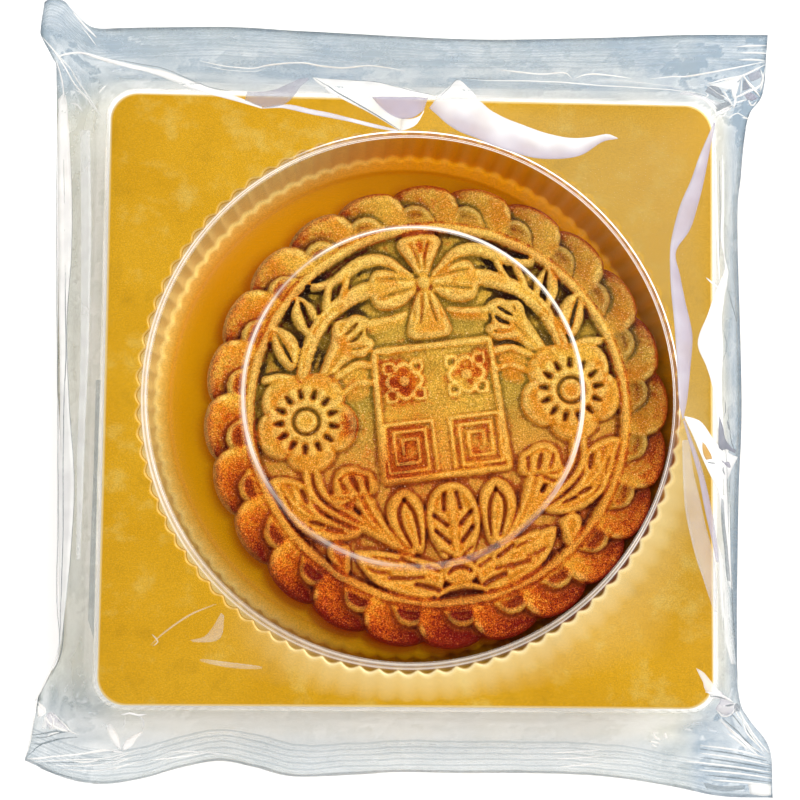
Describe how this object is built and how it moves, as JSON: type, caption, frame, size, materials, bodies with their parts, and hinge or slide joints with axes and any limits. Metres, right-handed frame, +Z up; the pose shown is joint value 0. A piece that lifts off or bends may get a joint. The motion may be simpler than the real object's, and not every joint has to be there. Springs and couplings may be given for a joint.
{
  "type": "packed mooncake",
  "caption": "Round baked mooncake with a petal rim and raised flowers, on a fluted gold tray under a clear lid, sealed in a clear film bag with crimped ends.",
  "frame": {"origin": "middle of the pack's box, on the surface that it lies on", "axes": "+Z up through the shown side, +Y towards the top seal, +X to the right of the pack as it is looked at"},
  "size_m": [0.1874, 0.2004, 0.0345],
  "materials": {
    "clear_film": "thin glossy clear plastic film, creased",
    "clear_pet": "clear glossy thermoformed sheet",
    "gold_pet": "gold-coloured satin thermoformed sheet",
    "baked_crust": "oily egg-washed baked crust, golden amber on the raised parts and darker in the hollows"
  },
  "bodies": {
    "root": {"film_bag": "clear_film", "clear_lid": "clear_pet", "tray": "gold_pet", "mooncake": "baked_crust"}
  },
  "joints": []
}
